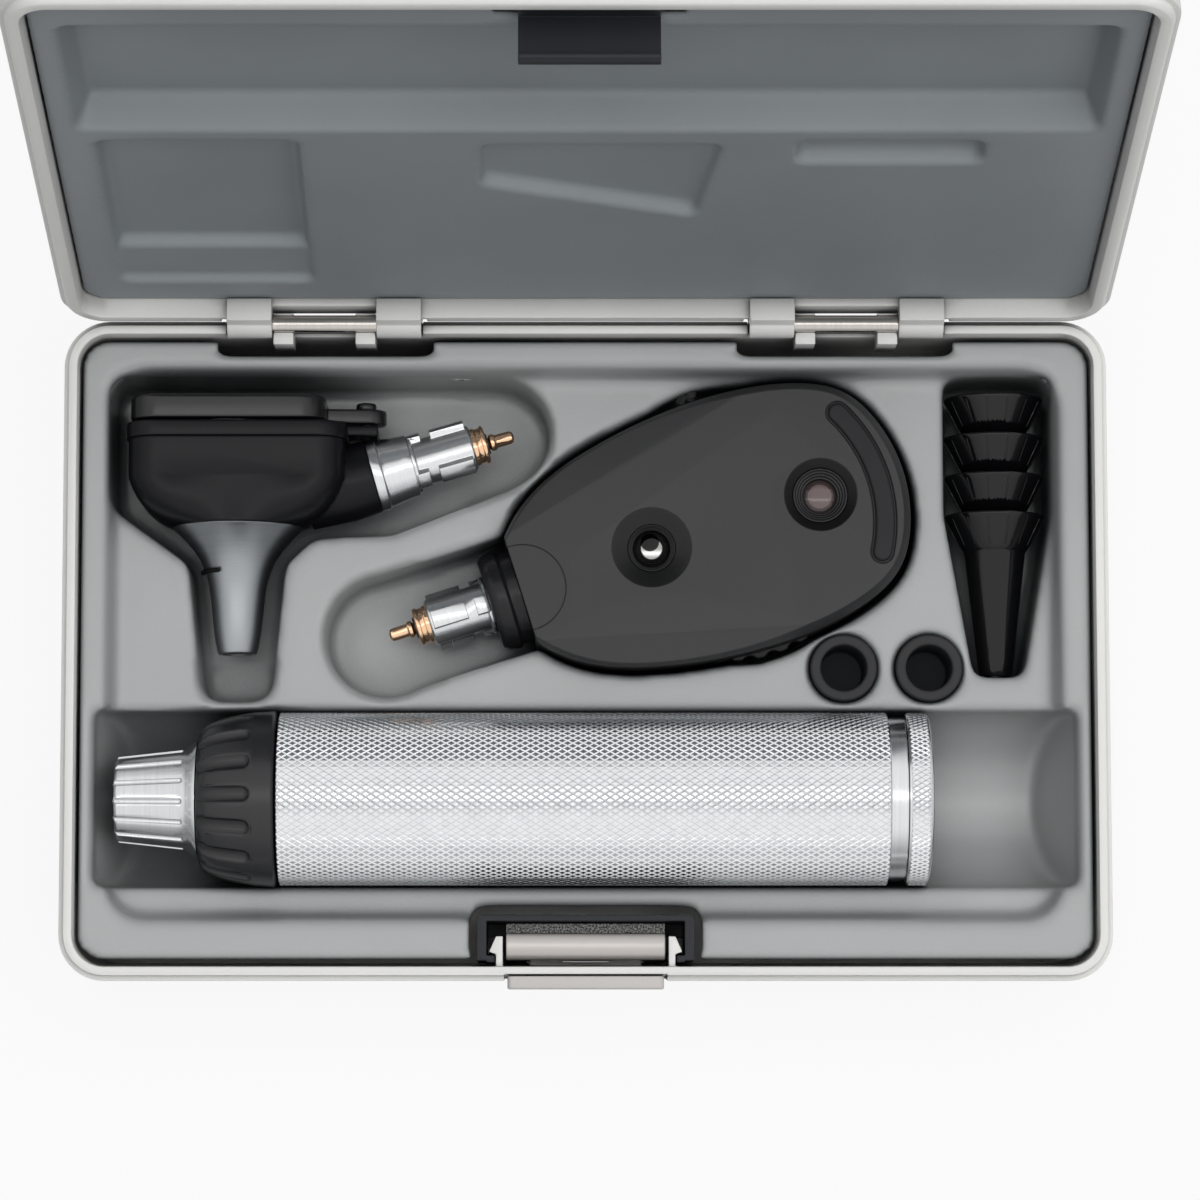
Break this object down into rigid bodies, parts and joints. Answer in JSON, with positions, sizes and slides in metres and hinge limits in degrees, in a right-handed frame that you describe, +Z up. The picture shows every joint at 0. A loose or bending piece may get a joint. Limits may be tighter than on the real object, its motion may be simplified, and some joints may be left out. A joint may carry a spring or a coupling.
{
  "type": "otoscope carry case",
  "caption": "Hinged hard box with fitted trays holding a battery handle, otoscope head, ophthalmoscope head, ear specula and spare lamp holders.",
  "frame": {"origin": "centre of the base shell underside", "axes": "+X along the hinge line to the right of the user, +Y from the latch to the hinges, +Z up"},
  "size_m": [0.182, 0.1617, 0.1371],
  "materials": {
    "shell": "fine satin",
    "base_tray": "soft matte",
    "lid_tray": "soft matte",
    "nickel": "bright nickel",
    "tab": "satin",
    "black_fitting": "satin",
    "rubber": "matte",
    "gloss_black": "high gloss",
    "gilt": "gilt",
    "satin_metal": "satin chrome",
    "handle_metal": "knurled satin chrome",
    "cell_jacket": "printed jacket without marks",
    "glass": "clear",
    "insulator": "satin",
    "head_black": "fine satin texture"
  },
  "bodies": {
    "base": {"base_shell": "shell", "base_insert": "base_tray", "hinge_pin_left": "nickel", "hinge_pin_right": "nickel", "latch_bracket": "black_fitting", "latch_pin": "nickel", "latch_spring": "nickel", "bulb_holder_left": "rubber", "bulb_holder_right": "rubber"},
    "lid": {"lid_shell": "shell", "lid_insert": "lid_tray", "lid_strike": "black_fitting"},
    "latch": {"latch_plate": "nickel", "latch_tab": "tab"},
    "otoscope": {"otoscope_housing": "head_black", "otoscope_neck_ring": "satin_metal", "otoscope_plug": "satin_metal", "otoscope_contact_sleeve": "gilt", "otoscope_insulator": "insulator", "otoscope_contact_pin": "gilt", "otoscope_cone": "satin_metal", "otoscope_window_screw": "head_black"},
    "otoscope_window": {"otoscope_window_frame": "head_black", "otoscope_window_lens": "glass"},
    "ophthalmoscope": {"ophthalmoscope_front_cover": "head_black", "ophthalmoscope_rear_cover": "head_black", "ophthalmoscope_eyepiece_ring": "head_black", "ophthalmoscope_display_ring": "head_black", "ophthalmoscope_eyepiece_lens": "glass", "ophthalmoscope_display_lens": "glass", "ophthalmoscope_brow_rest": "rubber", "ophthalmoscope_collar": "head_black", "ophthalmoscope_plug": "satin_metal", "ophthalmoscope_contact_sleeve": "gilt", "ophthalmoscope_insulator": "insulator", "ophthalmoscope_contact_pin": "gilt"},
    "lens_wheel": {"ophthalmoscope_lens_wheel": "head_black"},
    "handle": {"handle_tube": "handle_metal", "handle_socket": "handle_metal", "handle_contact_plunger": "gilt", "handle_insulator_bush": "insulator", "battery_cell_front": "cell_jacket", "battery_cell_rear": "cell_jacket"},
    "dimmer": {"handle_dimmer_collar": "head_black"},
    "cap_thread": {"handle_cap_spring": "nickel"},
    "end_cap": {"handle_end_cap": "handle_metal"},
    "specula": {"speculum_1": "gloss_black", "speculum_2": "gloss_black", "speculum_3": "gloss_black", "speculum_4": "gloss_black"}
  },
  "joints": [
    {"name": "lid_hinge", "type": "hinge", "parent": "base", "child": "lid", "pos_m": [0, 0.0567, 0.02775], "axis": [-1, 0, 0], "range_deg": [-106, 0]},
    {"name": "latch_rock", "type": "hinge", "parent": "base", "child": "latch", "pos_m": [0, -0.0532, 0.0155], "axis": [1, 0, 0], "range_deg": [0, 5], "stiffness_Nm_per_rad": 0.06},
    {"name": "otoscope_lift", "type": "slide", "parent": "base", "child": "otoscope", "axis": [0, 0, 1], "range_m": [0, 0.06]},
    {"name": "window_swing", "type": "hinge", "parent": "otoscope", "child": "otoscope_window", "pos_m": [-0.0386, 0.042, 0.0163], "axis": [0, 1, 0], "range_deg": [0, 90]},
    {"name": "ophthalmoscope_lift", "type": "slide", "parent": "base", "child": "ophthalmoscope", "axis": [0, 0, 1], "range_m": [0, 0.06]},
    {"name": "lens_wheel_turn", "type": "hinge", "parent": "ophthalmoscope", "child": "lens_wheel", "pos_m": [0.02587, 0.02233, 0.015], "axis": [0, 0, 1], "continuous": true},
    {"name": "handle_lift", "type": "slide", "parent": "base", "child": "handle", "axis": [0, 0, 1], "range_m": [0, 0.06]},
    {"name": "dimmer_turn", "type": "hinge", "parent": "handle", "child": "dimmer", "pos_m": [-0.06, -0.02575, 0.0194], "axis": [1, 0, 0], "range_deg": [0, 240]},
    {"name": "end_cap_travel", "type": "slide", "parent": "handle", "child": "cap_thread", "axis": [1, 0, 0], "range_m": [0, 0.006]},
    {"name": "end_cap_turn", "type": "hinge", "parent": "cap_thread", "child": "end_cap", "pos_m": [0.058, -0.02575, 0.0194], "axis": [-1, 0, 0], "range_deg": [0, 1440.5]},
    {"name": "specula_lift", "type": "slide", "parent": "base", "child": "specula", "axis": [0, 0, 1], "range_m": [0, 0.06]}
  ],
  "couplings": [
    {"joint": "end_cap_turn", "follows": "end_cap_travel", "rad_per_m": 4188.8}
  ]
}
